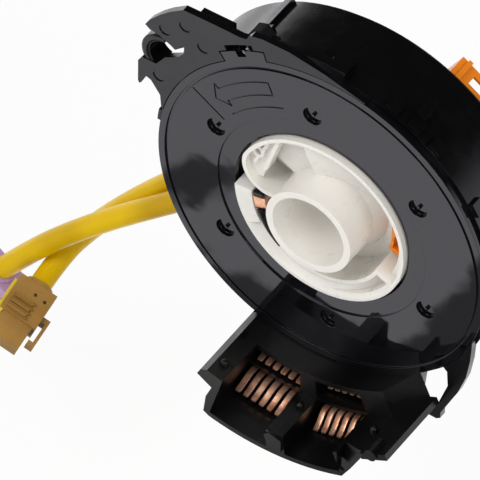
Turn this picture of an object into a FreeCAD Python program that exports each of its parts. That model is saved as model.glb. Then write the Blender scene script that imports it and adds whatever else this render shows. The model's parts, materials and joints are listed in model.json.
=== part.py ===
import FreeCAD
import Part
import math
import os

# Steering clock spring, seen from its column side.
# Millimetres. The turning axis is Y and the origin lies on it, in the outer face of the rear cover.
# -Y points to the steering column, +Y to the steering wheel, +Z is up.
# Angles are counted from +X towards +Z, as someone on the column side sees them.

# Case
case_radius = 54.0
drawn_radius = 54.0
case_wall = 2.0
case_front_y = 25.5
case_bore = case_radius - case_wall
rib_angle = 119.0
rib_width = 2.4
rib_height = 1.3
rib_start_y = 11.5

# Rear cover
cover_inset = 1.1
cover_radius = case_radius - cover_inset
cover_seat_gap = 0.25
cover_thickness = 2.2
cover_opening = 28.1
rim_groove_inset = 2.5
rim_groove_radius = cover_radius - rim_groove_inset
rim_groove_width = 0.8
rim_groove_depth = 0.6
inner_step_radius = 33.5
inner_step_depth = 0.5
recess_circle = 37.6
recess_radius = 2.9
recess_depth = 1.2
recess_count = 6
recess_first_angle = 34.5
recess_pip_radius = 0.55
tab_height = 3.1
tab_radius = cover_radius + tab_height
tab_from_angle = 109.6
tab_to_angle = 125.6
tab_slot_from_angle = 116.6
tab_slot_to_angle = 119.7
tab_slot_depth = 2.0
engraving_width = 0.4
engraving_depth = 0.3
arrow_inner_radius = 41.4
arrow_outer_radius = 45.7
arrow_tail_angle = 112.1
arrow_neck_angle = 136.6
arrow_tip_angle = 141.2
arrow_barb = 1.8
panel_radius = 37.4
panel_angle = 146.7

# Bracket, latch arm and leg on the case
bracket_thickness = 2.2
window_height = 1.6
window_inner = tab_radius + 0.4
window_outer = window_inner + window_height
root_height = 3.0
window_from_angle = 112.9
window_to_angle = 122.8
flange_depth = 2.9
leg_thickness = 2.4
latch_arm_depth = 6.4

# Connector block on the column side
block_depth = 26.0
block_back = 12.0
block_wall = 1.6
tongue_y = 4.7
roof_inset = 2.0
roof_radius = case_radius - roof_inset
roof_length = 9.0
shelf_thickness = 1.0
shelf_length = 9.3
upper_row_gap = 3.8
shelf_gap = 1.4
lower_row_gap = 2.0
floor_gap = 6.2
left_bay_start = -106.4
partition_left_angle = -90.4
partition_right_angle = -85.2
right_bay_end = -69.4
open_end_angle = -60.0
peg_radius = 1.1
peg_height = 1.3

# Copper blades
blade_width = 1.95
blade_thickness = 0.8
lower_blade_pitch = 2.6
upper_blade_pitch = 2.55
right_upper_pitch = 2.4
right_upper_reach = 5.5
blade_count = 6
blade_tail = 4.0
left_row_angle = -98.8
right_row_angle = -77.2
left_upper_row_angle = -97.9
upper_blade_reach = 8.2
left_blade_reach = 16.0
right_blade_reach = 14.6

# From the roof down: upper row, shelf, lower row, floor
upper_row_radius = roof_radius + block_wall + upper_row_gap
shelf_radius = upper_row_radius + blade_thickness + shelf_gap
lower_row_radius = shelf_radius + shelf_thickness + lower_row_gap
floor_radius = lower_row_radius + floor_gap
open_radius = shelf_radius + blade_thickness

# Rotor
rotor_gap = 0.3
drum_radius = 31.0
drum_wall = 1.8
drum_bore = drum_radius - drum_wall
plate_y = 23.2
plate_thickness = 2.0
plate_front_y = plate_y + plate_thickness
plate_radius = case_bore - rotor_gap
plate_rim_height = 2.4

# White hub
tube_radius = 13.6
tube_bore = 11.5
tube_rear_y = -6.3
tube_front_y = 26.0
ring_radius = 27.3
ring_wall = 1.2
ring_rear_y = -1.0
hub_floor_y = 9.5
hub_floor_thickness = 2.0
cam_radius = 20.2
cam_step_angle = -25.5
cam_start_angle = -178.0
cam_slope_depth = 2.9
ledge_radius = 24.0
ledge_y = 2.0
pocket_angle = 104.0
holder_from_angle = -20.0
holder_to_angle = 6.0
holder_gap = 0.3
link_inner = 17.7
link_outer = 21.6

# Roller carrier and flat cable
chamber_gap = 0.3
carrier_y = cover_thickness + chamber_gap
carrier_thickness = 1.4
carrier_inner = 35.5
carrier_outer = 47.0
ribbon_thickness = 0.35
ribbon_width = 15.5
ribbon_pitch = 4.0 / 3.0
coil_gap = 0.3
outer_turns = 3
inner_turns = 3
roller_clearance = 0.3
pin_radius = 1.4
pin_play = 0.06
idler_radius = 3.6
idler_count = 5

# Steering-wheel side
tower_size = (17.0, 8.4, 12.0)
tower_centre = (26.0, 34.5)
tower_turn = -34.0
tower_wall = 1.2
tower_rail = 1.1
switch_pin_size = 0.64
switch_pin_count = 6
switch_pin_pitch = 2.2
switch_pin_height = 6.5
hood_centre = (-27.0, -17.5)
hood_turn = 43.0
hood_size = (22.0, 16.0, 14.5)
drive_boss_radius = 3.0
drive_boss_height = 8.0
drive_boss_circle = 40.0
drive_boss_angles = (100.0, 322.0)

# Leads and their connectors
lead_diameter = 6.6
squib_width = 12.0
squib_thickness = 9.0
squib_length = 19.0
lock_travel = 2.0
lock_fit = 0.15
lead_grip = 4.0
lead_collar_wall = 1.3
lead_collar_length = 9.0
front_lead_route = [
    (-35.6, 33.0, -30.9),
    (-53.0, 33.2, -46.4),
    (-71.6, 33.2, -62.8),
    (-88.4, 33.1, -77.5),
    (-103.8, 32.4, -91.9),
    (-117.2, 30.8, -105.8),
    (-128.0, 30.8, -119.8),
]
rear_lead_route = [
    (-42.4, 35.2, -24.6),
    (-58.4, 37.4, -42.8),
    (-76.0, 40.2, -62.8),
    (-91.4, 41.0, -81.0),
    (-103.9, 41.4, -97.9),
    (-111.3, 37.0, -109.0),
    (-111.3, 24.6, -113.0),
]

axis = FreeCAD.Vector(0, 1, 0)
origin = FreeCAD.Vector(0, 0, 0)
lilac_facing = FreeCAD.Vector(0, -1, 0)
tan_facing = FreeCAD.Vector(0.385, -0.58, 0.718)
joined_eps = 0.01


def point(x, z, y=0.0):
    return FreeCAD.Vector(x, y, z)


def at(radius, angle, y=0.0):
    turn = math.radians(angle)
    return FreeCAD.Vector(radius * math.cos(turn), y, radius * math.sin(turn))


def disc(radius, y0, y1, centre=(0.0, 0.0)):
    return Part.makeCylinder(radius, y1 - y0, point(centre[0], centre[1], y0), axis)


def ring(outer, inner, y0, y1):
    return disc(outer, y0, y1).cut(disc(inner, y0 - 1, y1 + 1))


def prism(face_edges, y0, y1):
    face = Part.Face(Part.Wire(face_edges))
    return face.extrude(FreeCAD.Vector(0, y1 - y0, 0))


def with_rim(x, z):
    # Outlines round the case are drawn for one whose radius is drawn_radius, and move out with its rim.
    moved = 1.0 + (case_radius - drawn_radius) / math.hypot(x, z)
    return x * moved, z * moved


def all_with_rim(corners):
    return [with_rim(x, z) for x, z in corners]


def rim_point(x, y, z):
    moved = with_rim(x, z)
    return FreeCAD.Vector(moved[0], y, moved[1])


def plate(corners, y0, y1):
    closed = [point(x, z, y0) for x, z in corners]
    wire = Part.makePolygon(closed + closed[:1])
    return Part.Face(wire).extrude(FreeCAD.Vector(0, y1 - y0, 0))


def sector(inner, outer, start, end, y0, y1):
    middle = (start + end) / 2
    edges = [
        Part.Arc(at(outer, start, y0), at(outer, middle, y0), at(outer, end, y0)).toShape(),
        Part.LineSegment(at(outer, end, y0), at(inner, end, y0)).toShape(),
        Part.Arc(at(inner, end, y0), at(inner, middle, y0), at(inner, start, y0)).toShape(),
        Part.LineSegment(at(inner, start, y0), at(outer, start, y0)).toShape(),
    ]
    return prism(edges, y0, y1)


def box(x0, x1, y0, y1, z0, z1):
    return Part.makeBox(x1 - x0, y1 - y0, z1 - z0, FreeCAD.Vector(x0, y0, z0))


def turned_about_axis(shape, angle):
    copy = shape.copy()
    copy.rotate(origin, FreeCAD.Vector(0, -1, 0), angle)
    return copy


def half_space(through, normal, size=60.0):
    # A large box whose bottom face goes through one point, on the side that the normal points to.
    block = Part.makeBox(size, size, size, FreeCAD.Vector(-size / 2, -size / 2, 0))
    block.Placement = FreeCAD.Placement(through, FreeCAD.Rotation(FreeCAD.Vector(0, 0, 1), normal))
    return block


def plane_through(a, b, c, side):
    # The half space over three points, on the side of the given direction.
    normal = (b - a).cross(c - a).normalize()
    if normal.dot(side) < 0:
        normal = normal * -1
    return half_space(a, normal)


def fused(shapes):
    result = shapes[0].fuse(shapes[1:]) if len(shapes) > 1 else shapes[0]
    return result.removeSplitter()


def bracket_outline():
    # Column-side outline of the bracket, from the rim at the top round to the rim at the left.
    return all_with_rim([
        (14.0, 51.6), (1.0, 55.5), (-10.2, 57.6), (-19.1, 57.8), (-22.6, 57.0), (-24.2, 55.0),
        (-26.2, 54.6), (-32.0, 54.8), (-39.0, 54.9), (-44.5, 54.9), (-48.7, 51.9), (-52.0, 49.0),
        (-55.3, 45.4), (-56.9, 42.8), (-55.3, 41.6), (-52.7, 41.3), (-48.8, 39.3), (-47.2, 38.3),
        (-44.3, 40.8), (-44.3, 38.7), (-46.2, 36.1), (-50.5, 33.6), (-52.1, 31.4), (-53.4, 29.6),
        (-58.0, 29.7), (-59.3, 27.8), (-59.4, 20.1), (-59.0, 19.2), (-58.3, 19.9), (-56.7, 23.1),
        (-55.1, 22.4), (-52.2, 18.3), (-51.9, 14.4), (-50.9, 11.0), (-40.0, 20.0), (-30.0, 36.0),
        (-10.0, 45.0),
    ])


def latch_arm():
    # Curved arm that joins the two lobes of the bracket behind their faces.
    centre = rim_point(-51.2, 0.8, 33.2)
    arm = []
    for radius in (7.4, 4.9):
        arm.append([centre + FreeCAD.Vector(radius * math.cos(math.radians(a)), 0,
                                            radius * math.sin(math.radians(a))) for a in (92, 170, 250)])
    outer, inner = arm
    edges = [
        Part.Arc(outer[0], outer[1], outer[2]).toShape(),
        Part.LineSegment(outer[2], inner[2]).toShape(),
        Part.Arc(inner[2], inner[1], inner[0]).toShape(),
        Part.LineSegment(inner[0], outer[0]).toShape(),
    ]
    return prism(edges, 0.8, 0.8 + latch_arm_depth)


def make_case():
    cover_seat_y = cover_thickness
    wall = ring(case_radius, case_bore, cover_seat_y, case_front_y)
    wall = wall.cut(sector(case_bore - 1, case_radius + 1, -97.0, -83.0, tongue_y - 0.2, block_back + 0.2))
    seat = ring(case_bore + joined_eps, rim_groove_radius, cover_seat_y, cover_seat_y + 1.2)
    bracket = plate(bracket_outline(), 0.0, bracket_thickness)
    bracket = bracket.cut(disc(cover_radius + cover_seat_gap, -1.0, cover_seat_y))
    tab_room = sector(cover_radius - 1.0, window_inner, tab_from_angle - 0.4, tab_to_angle + 0.4, -1.0, 4.0)
    bracket = bracket.cut(tab_room)
    window = sector(window_inner - 0.1, window_outer, window_from_angle, window_to_angle, -1.0, 4.0)
    bracket = bracket.cut(window)
    bracket_root = sector(case_bore + 0.5, case_radius + root_height, 84.0, 163.0, cover_seat_y, 7.5)
    bracket_root = bracket_root.cut(sector(case_radius, case_radius + root_height + 1.0, 90.0, 158.0, 4.6, 8.0))
    bracket_root = bracket_root.cut(sector(case_radius, window_outer, window_from_angle - 4.0,
                                           window_to_angle, 1.0, 8.0))
    rail = sector(case_bore + 0.5, case_radius + root_height + 0.2, 89.4, 107.0, cover_seat_y, 5.0)
    # Flange that thickens the upper edge of the bracket, between two lobes.
    flange = plate(all_with_rim([(-41.0, 46.0), (-41.0, 53.6), (-30.6, 53.4), (-30.6, 46.0)]),
                   bracket_thickness, bracket_thickness + flange_depth)
    # Web between the bracket and the rib, highest next to the window.
    web = plate(all_with_rim([(-18.6, 50.0), (-19.6, 51.2), (-22.6, 54.6), (-25.6, 53.6), (-25.6, 47.0)]),
                cover_seat_y, 8.6)
    rib_half = math.degrees(rib_width / 2 / case_radius)
    rib = sector(case_bore + 0.5, case_radius + rib_height, rib_angle - rib_half, rib_angle + rib_half,
                 rib_start_y, case_front_y)
    rib_foot = sector(case_bore + 0.5, case_radius + rib_height, rib_angle - 3.4, rib_angle + rib_half,
                      8.0, rib_start_y + 1.5)
    leg = plate(all_with_rim([(49.0, -20.5), (48.9, -23.0), (48.5, -28.0), (47.3, -35.0), (44.9, -42.0),
                 (41.7, -48.6), (39.4, -53.4), (39.3, -55.6), (38.0, -56.5), (35.4, -56.3),
                 (38.5, -50.2), (41.5, -41.5), (41.2, -36.2), (39.0, -34.0), (46.0, -24.0)]),
                0.0, leg_thickness)
    leg = leg.cut(disc(cover_radius + cover_seat_gap, -1.0, cover_seat_y))
    pieces = [wall, seat, bracket, bracket_root, rail, flange, web, rib, rib_foot, leg, latch_arm()]
    # Snap lugs for the cover round the rim, and the square stop lug beside them.
    for angle in (68.0, 60.0, 51.5, 30.0, -5.0, 172.0, 205.0, 232.0):
        pieces.append(sector(case_radius - 0.6, case_radius + 1.2, angle - 2.2, angle + 2.2, 2.6, 6.4))
    pieces.append(sector(case_radius - 0.6, case_radius + 2.4, 59.2, 62.6, 6.2, 10.0))
    shell = fused(pieces)
    front_notch = sector(case_bore - 1, case_radius + 0.6, rib_angle - 5.0, rib_angle - 2.4,
                         case_front_y - 1.6, case_front_y + 1)
    shell = shell.cut(front_notch)
    # Round ejector marks in the bracket face.
    for x, z in ((-50.4, 44.1), (-43.9, 48.8), (-38.1, 44.0), (-52.5, 25.4)):
        shell = shell.cut(disc(1.9, -1.0, 0.3, with_rim(x, z)))
    return shell.removeSplitter()


def engraved_line(start, end):
    # Straight groove in the cover's outer face between two (radius, angle) places.
    a = at(start[0], start[1], -1.0)
    b = at(end[0], end[1], -1.0)
    along = (b - a).normalize()
    across = axis.cross(along) * (engraving_width / 2)
    corners = [a - across, b - across, b + across, a + across]
    wire = Part.makePolygon(corners + corners[:1])
    return Part.Face(wire).extrude(FreeCAD.Vector(0, 1.0 + engraving_depth, 0))


def engraved_arc(radius, start, end):
    half = engraving_width / 2
    return sector(radius - half, radius + half, start, end, -1.0, engraving_depth)


def cover_engraving():
    # Block arrow that points round the axis, and the edges of a panel beside it.
    middle = (arrow_inner_radius + arrow_outer_radius) / 2
    top_barb = (arrow_outer_radius + arrow_barb, arrow_neck_angle)
    low_barb = (arrow_inner_radius - arrow_barb, arrow_neck_angle)
    tip = (middle, arrow_tip_angle)
    return [
        engraved_arc(arrow_outer_radius, arrow_tail_angle, arrow_neck_angle),
        engraved_arc(arrow_inner_radius, arrow_tail_angle, arrow_neck_angle),
        engraved_line((arrow_inner_radius, arrow_tail_angle), (arrow_outer_radius, arrow_tail_angle)),
        engraved_line((arrow_outer_radius, arrow_neck_angle), top_barb),
        engraved_line((arrow_inner_radius, arrow_neck_angle), low_barb),
        engraved_line(top_barb, tip),
        engraved_line(low_barb, tip),
        engraved_line((panel_radius, panel_angle), (rim_groove_radius - 0.8, panel_angle)),
        engraved_arc(panel_radius, 108.8, panel_angle - 7.0),
    ]


def make_rear_cover():
    body = ring(cover_radius, cover_opening, 0.0, cover_thickness)
    tab = sector(cover_radius - 0.6, tab_radius, tab_from_angle, tab_to_angle, 0.0, cover_thickness)
    slot = sector(tab_radius - tab_slot_depth, tab_radius + 1, tab_slot_from_angle, tab_slot_to_angle,
                  -1, cover_thickness + 1)
    body = body.fuse(tab).cut(slot)
    groove = ring(rim_groove_radius + rim_groove_width / 2, rim_groove_radius - rim_groove_width / 2,
                  -1.0, rim_groove_depth)
    step = ring(inner_step_radius, cover_opening - 1, -1.0, inner_step_depth)
    body = body.cut([groove, step] + cover_engraving())
    for index in range(recess_count):
        angle = recess_first_angle + index * 360.0 / recess_count
        spot = at(recess_circle, angle)
        hole = disc(recess_radius, -1.0, recess_depth, (spot.x, spot.z))
        pip = disc(recess_pip_radius, -2.0, recess_depth + 1, (spot.x, spot.z))
        body = body.cut(hole.cut(pip))
        body = body.cut(disc(recess_pip_radius + joined_eps, -1.0, 0.3, (spot.x, spot.z)))
    return body.removeSplitter()


def bay_cut(start, end, y0):
    return sector(roof_radius + block_wall, floor_radius - block_wall, start, end, -block_depth - 1, y0)


def block_prism(left_side, right_side, y0, y1):
    # Outline with straight left and right sides and the round floor between them.
    start = point(*left_side[-1], y0)
    end = point(*right_side[0], y0)
    bottom = Part.Arc(start, at(floor_radius, (left_bay_start + right_bay_end) / 2, y0), end).toShape()
    corners = [point(x, z, y0) for x, z in left_side]
    others = [point(x, z, y0) for x, z in right_side]
    edges = [Part.LineSegment(a, b).toShape() for a, b in zip(corners, corners[1:])]
    edges.append(bottom)
    edges += [Part.LineSegment(a, b).toShape() for a, b in zip(others, others[1:])]
    edges.append(Part.LineSegment(others[-1], corners[0]).toShape())
    return prism(edges, y0, y1)


def make_connector_block():
    left_side = all_with_rim([(-19.4, -46.0), (-19.4, -48.0), (-22.0, -49.3), (-23.0, -51.3), (-18.3, -54.4),
                              (-20.2, -58.8)])
    left_side += [(-21.0, 3.8 - floor_radius), (-19.3, 2.7 - floor_radius)]
    right_corner = (24.3, 4.4 - floor_radius)
    right_side = [right_corner] + all_with_rim([(27.0, -60.0), (30.2, -54.1), (38.9, -49.8), (35.3, -41.4),
                                                (34.0, -38.0)])
    # Behind the disc the block is narrower, which leaves the leg's loop open to look through.
    back_right = [right_corner] + all_with_rim([(26.8, -60.0), (27.5, -54.0), (27.5, -46.5)])
    back = block_prism(left_side, back_right, 0.0, block_back).cut(disc(case_radius, -1, block_back + 1))
    tray = block_prism(left_side, right_side, -block_depth, 0.0)
    tray = tray.cut(disc(roof_radius, -block_depth - 1, 1))
    # Everything above the bays is open in front of the roof's edge.
    tray = tray.cut(sector(roof_radius - 20, open_radius, left_bay_start, open_end_angle,
                           -block_depth - 1, -roof_length))
    tray = tray.cut(bay_cut(left_bay_start, partition_left_angle, 0.0))
    tray = tray.cut(bay_cut(partition_right_angle, right_bay_end, 0.0))
    # Over the thin right wing the block is open, and the roof ends there in a slanted face.
    over_wing = all_with_rim([(29.0, -52.4), (38.6, -47.7), (46.0, -46.0), (46.0, -30.0), (18.0, -30.0),
                              (24.0, -45.0)])
    tray = tray.cut(plate(over_wing, -block_depth - 1, -roof_length))
    slant = plane_through(rim_point(27.4, -8.0, -45.2), rim_point(30.4, -8.0, -52.1),
                          rim_point(33.2, 0.0, -42.5), FreeCAD.Vector(1, 0, 0))
    tray = tray.cut(slant.common(plate(over_wing, -roof_length - joined_eps, 1.0)))
    # Slanted facet at the lower front corner of the right wall.
    facet = plane_through(rim_point(30.6, -block_depth, -54.4), rim_point(25.2, -block_depth, -62.0),
                          rim_point(24.6, -block_depth + 4.0, -54.6), FreeCAD.Vector(0, -1, 0))
    facet_top = drawn_radius - case_radius - 52.0
    tray = tray.cut(facet.common(box(22.6, 30.6, -block_depth - 1, -block_depth + 4.5, facet_top - 10.0, facet_top)))
    shelf_outer = shelf_radius + shelf_thickness
    shelf_left = sector(shelf_radius, shelf_outer, left_bay_start - 0.6, partition_left_angle + 0.5,
                        -shelf_length, 0.0)
    shelf_right = sector(shelf_radius, shelf_outer, partition_right_angle - 1.0, right_bay_end + 1.4,
                         -shelf_length, 0.0)
    boss = disc(1.9, -block_depth - 0.6, -block_depth + 5.0, with_rim(33.7, -50.3))
    key_top = 3.2 - floor_radius
    key = plate([(-0.7, key_top + 3.9), (0.9, key_top + 5.4), (5.0, key_top + 4.0), (5.0, key_top),
                 (3.6, key_top + 1.2), (0.9, key_top)],
                -block_depth - 0.9, -block_depth + 1.0)
    tongue = sector(case_bore + 0.3, case_radius + 1, -96.8, -83.2, tongue_y, block_back)
    pieces = [back, tray, shelf_left, shelf_right, boss, key, tongue]
    for x, y, z in ((-17.1, -21.0, -49.2), (2.8, -14.0, -60.5), (28.2, -16.0, -53.3)):
        pieces.append(Part.makeCylinder(peg_radius, peg_height + 1.4, rim_point(x, y, z - 1.4),
                                        FreeCAD.Vector(0, 0, 1)))
    return fused(pieces)


def blade(radius, reach, drop):
    # One blade: straight out of its wall, then bent down over its last half.
    straight = reach * 0.45
    t = blade_thickness
    profile = [
        (blade_tail, 0.0), (-straight, 0.0), (-reach * 0.8, drop * 0.45), (-reach, drop),
        (-reach + t * 0.7, drop + t * 0.6), (-reach * 0.78, drop * 0.45 + t), (-straight + 0.1, t),
        (blade_tail, t),
    ]
    corners = [FreeCAD.Vector(-blade_width / 2, y, -radius - down) for y, down in profile]
    face = Part.Face(Part.makePolygon(corners + corners[:1]))
    return face.extrude(FreeCAD.Vector(blade_width, 0, 0))


def make_blade_row(row_angle, radius, pitch, reach, drop):
    one = blade(radius, reach, drop)
    blades = []
    for index in range(blade_count):
        copy = one.copy()
        copy.translate(FreeCAD.Vector((index - (blade_count - 1) / 2) * pitch, 0, 0))
        blades.append(turned_about_axis(copy, row_angle + 90.0))
    return Part.makeCompound(blades)


def make_rotor_hub():
    tube = ring(tube_radius, tube_bore, tube_rear_y, tube_front_y)
    floor = ring(drum_bore, tube_bore + 1, hub_floor_y, hub_floor_y + hub_floor_thickness)
    inner = ring_radius - ring_wall
    wall = sector(inner, ring_radius, cam_step_angle, 152.0, ring_rear_y, hub_floor_y + joined_eps)
    wall_notch = sector(inner - 1, ring_radius + 1, cam_step_angle + 3.5, cam_step_angle + 9.0,
                        ring_rear_y - 1, ring_rear_y + 0.8)
    wall = wall.cut(wall_notch)
    cam = sector(cam_radius, ring_radius, cam_start_angle, cam_step_angle, ring_rear_y,
                 hub_floor_y + joined_eps)
    cam_hollow = sector(cam_radius + ring_wall, inner, cam_start_angle + 3, cam_step_angle - 3,
                        ring_rear_y + cam_slope_depth + 3.0, hub_floor_y)
    link_window = sector(cam_radius - 1, link_outer + holder_gap, cam_start_angle - 1, -149.5,
                         ring_rear_y - 1, hub_floor_y)
    cam = cam.cut(cam_hollow).cut(link_window).cut(cam_slope()).cut(cam_ramp())
    # Rounded wall of the pocket at the upper left.
    lobe_centre = (-16.0, 9.3)
    lobe_radius = 8.9
    lobe_outer = disc(lobe_radius, ring_rear_y, hub_floor_y + joined_eps, lobe_centre)
    lobe_inner = disc(lobe_radius - ring_wall, ring_rear_y - 1, hub_floor_y + 1, lobe_centre)
    lobe_side = plate([(-14.0, -2.0), (-27.5, -2.0), (-27.5, 15.0), (-21.0, 14.2), (-14.0, 6.0)],
                      ring_rear_y, hub_floor_y + 1)
    lobe = lobe_outer.cut(lobe_inner).common(lobe_side).common(disc(ring_radius, -9, 12))
    # Its shallow floor with two long ribs and a round hole in an oval boss.
    shelf = plate([(-14.2, 23.4), (-18.2, 9.2), (-19.6, 4.0), (-27.0, 2.0), (-27.0, 22.0)], 1.5, 3.7)
    shelf = shelf.common(disc(inner + 0.6, -9, 12))
    shelf = shelf.common(disc(lobe_radius - 0.4, -9, 12, lobe_centre).fuse(box(-30, 0, -9, 12, 12.4, 30)))
    hole_place = (-20.7, 13.8)
    hole_boss = disc(2.0, 0.4, 2.3, hole_place)
    ribs = [
        plate([(-14.0, 23.4), (-18.4, 9.2), (-17.4, 8.9), (-12.9, 23.2)], 0.0, 3.7),
        plate([(-17.6, 19.0), (-22.2, 9.6), (-21.4, 9.2), (-16.7, 18.6)], 0.3, 3.7),
    ]
    ribs = [rib.common(disc(inner + 0.3, -9, 12)) for rib in ribs]
    deep_floor = sector(tube_radius - 1, inner + 0.6, pocket_angle, 150.0, 5.0, 6.6)
    # Raised floor right of the pocket that falls away round the tube, and the ledge inside the ring wall.
    rise = sector(tube_radius - 1, inner + 0.6, 20.0, pocket_angle, 0.6, hub_floor_y + joined_eps)
    fall = plane_through(at(20.0, pocket_angle, 1.0), at(20.0, 20.0, hub_floor_y), at(26.0, 62.0, 5.3),
                         FreeCAD.Vector(0, -1, 0))
    rise = rise.cut(fall)
    ledge = sector(ledge_radius, inner + 0.2, cam_step_angle, 56.0, ledge_y, hub_floor_y + joined_eps)
    fillet_ring = Part.makeCone(tube_radius + 2.2, tube_radius, 4.0, point(0, 0, hub_floor_y), -axis)
    fillet_ring = fillet_ring.cut(disc(tube_bore + 1, -9, 30))
    hub = fused([tube, floor, wall, cam, lobe, shelf, hole_boss, deep_floor, rise, ledge, fillet_ring] + ribs)
    hub = hub.cut(disc(1.1, -1.0, 4.5, hole_place))
    # Windows through the floor for the terminal holder and the link.
    holder_window = sector(ledge_radius - 5.3, ledge_radius, holder_from_angle - 0.8, holder_to_angle + 0.8,
                           hub_floor_y - 1, hub_floor_y + 4)
    link_floor_window = sector(link_inner - holder_gap, link_outer + holder_gap, cam_start_angle, -150.0,
                               hub_floor_y - 1, hub_floor_y + 4)
    hub = hub.cut(holder_window).cut(link_floor_window)
    return hub.removeSplitter()


def cam_slope():
    # The cam's top falls from its outer rim towards the wall at its inner side.
    start = cam_radius + ring_wall
    rim = ring_radius - 0.9
    low = ring_rear_y
    corners = [at(start, -149.5, low - 1), at(rim, -149.5, low - 1), at(rim, -149.5, low),
               at(start, -149.5, low + cam_slope_depth)]
    face = Part.Face(Part.makePolygon(corners + corners[:1]))
    return face.revolve(origin, FreeCAD.Vector(0, -1, 0), cam_step_angle - 3.0 + 149.5)


def cam_ramp():
    # Channel in the cam that gets deeper towards the step.
    channel = sector(cam_radius + ring_wall, ring_radius - 2.2, -100.0, cam_step_angle - 3.0,
                     ring_rear_y - 1, hub_floor_y - 3)
    under = plane_through(at(23.5, -95.0, -1.0), at(23.5, cam_step_angle, 4.4), at(30.0, -60.0, 1.7),
                          FreeCAD.Vector(0, -1, 0))
    return channel.common(under)


def make_terminal_holder():
    block = sector(ledge_radius - 5.0, ledge_radius - holder_gap, holder_from_angle, holder_to_angle,
                   6.0, plate_y)
    slot = sector(ledge_radius - 4.0, ledge_radius - 1.2, holder_from_angle + 4.0, holder_to_angle - 9.0,
                  5.0, 9.0)
    return block.cut(slot).removeSplitter()


def make_link_clip():
    bar = sector(link_inner, link_outer, -176.6, -151.0, 2.4, 14.0)
    front_tooth = sector(link_inner + 1.0, link_outer, -176.6, -173.4, -0.6, 3.0)
    rear_block = sector(link_inner, link_outer, -162.4, -151.0, 0.2, 3.0)
    rear_tooth = sector(link_inner + 1.4, link_outer, -159.0, -154.0, -0.6, 1.0)
    tail = sector(19.1, cam_radius - 0.2, -151.4, -128.5, 0.2, 3.0)
    return fused([bar, front_tooth, rear_block, rear_tooth, tail])


def make_ground_link():
    return sector(link_inner, link_outer, -173.0, -162.7, -0.8, 2.4)


def make_rotor_plate():
    plate_body = ring(plate_radius, tube_radius, plate_y, plate_front_y)
    drum = ring(drum_radius, drum_bore, carrier_y + 0.6, plate_y + joined_eps)
    rim = ring(plate_radius, plate_radius - 1.6, plate_y, plate_front_y + plate_rim_height)
    inner_rim = ring(tube_radius + 4.0, tube_radius, plate_y, plate_front_y + 1.4)
    pieces = [plate_body, drum, rim, inner_rim]
    for angle in drive_boss_angles:
        spot = at(drive_boss_circle, angle)
        pieces.append(disc(drive_boss_radius, plate_y, plate_front_y + drive_boss_height, (spot.x, spot.z)))
        pieces.append(disc(drive_boss_radius + 1.6, plate_y, plate_front_y + 1.2, (spot.x, spot.z)))
    for index in range(12):
        spoke = box(inner_spoke_start(), plate_radius - 1.0, plate_y, plate_front_y + 0.9, -0.6, 0.6)
        pieces.append(turned_about_axis(spoke, 15.0 + index * 30.0))
    body = fused(pieces)
    body = body.cut(hood_room()).cut(tower_room())
    return body.removeSplitter()


def inner_spoke_start():
    return tube_radius + 3.0


def hood_frame(shape):
    copy = shape.copy()
    copy.rotate(origin, FreeCAD.Vector(0, -1, 0), hood_turn)
    copy.translate(FreeCAD.Vector(hood_centre[0], 0, hood_centre[1]))
    return copy


def hood_room():
    length, width, height = hood_size
    return hood_frame(box(-length / 2, length / 2, plate_front_y, plate_front_y + height,
                          -width / 2, width / 2))


def tower_frame(shape):
    copy = shape.copy()
    copy.rotate(origin, FreeCAD.Vector(0, -1, 0), tower_turn)
    copy.translate(FreeCAD.Vector(tower_centre[0], 0, tower_centre[1]))
    return copy


def tower_room():
    width, depth, height = tower_size
    return tower_frame(box(-width / 2, width / 2, plate_front_y, plate_front_y + height,
                           -depth / 2, depth / 2 + tower_rail))


def make_switch_connector():
    width, depth, height = tower_size
    base = plate_front_y
    shell = box(-width / 2, width / 2, base, base + height, -depth / 2, depth / 2)
    w = tower_wall
    cavity = box(-width / 2 + w, width / 2 - w, base + 3.0, base + height + 1, -depth / 2 + w, depth / 2 - w)
    shell = shell.cut(cavity)
    latch_window = box(-2.6, 2.6, base + height - 5.0, base + height - 2.0, depth / 2 - w - 1, depth / 2 + 1)
    rails = [box(x - 0.7, x + 0.7, base, base + height, depth / 2 - joined_eps, depth / 2 + tower_rail)
             for x in (-6.0, 6.0)]
    shell = fused([shell] + rails).cut(latch_window)
    pin_holes = [box(x - switch_pin_size / 2, x + switch_pin_size / 2, base - 1, base + 4,
                     -switch_pin_size / 2, switch_pin_size / 2) for x in switch_pin_places()]
    for hole in pin_holes:
        shell = shell.cut(hole)
    return tower_frame(shell)


def switch_pin_places():
    return [(index - (switch_pin_count - 1) / 2) * switch_pin_pitch for index in range(switch_pin_count)]


def make_switch_pins():
    half = switch_pin_size / 2
    base = plate_front_y
    pins = [box(x - half, x + half, base, base + switch_pin_height, -half, half)
            for x in switch_pin_places()]
    return tower_frame(Part.makeCompound(pins))


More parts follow.
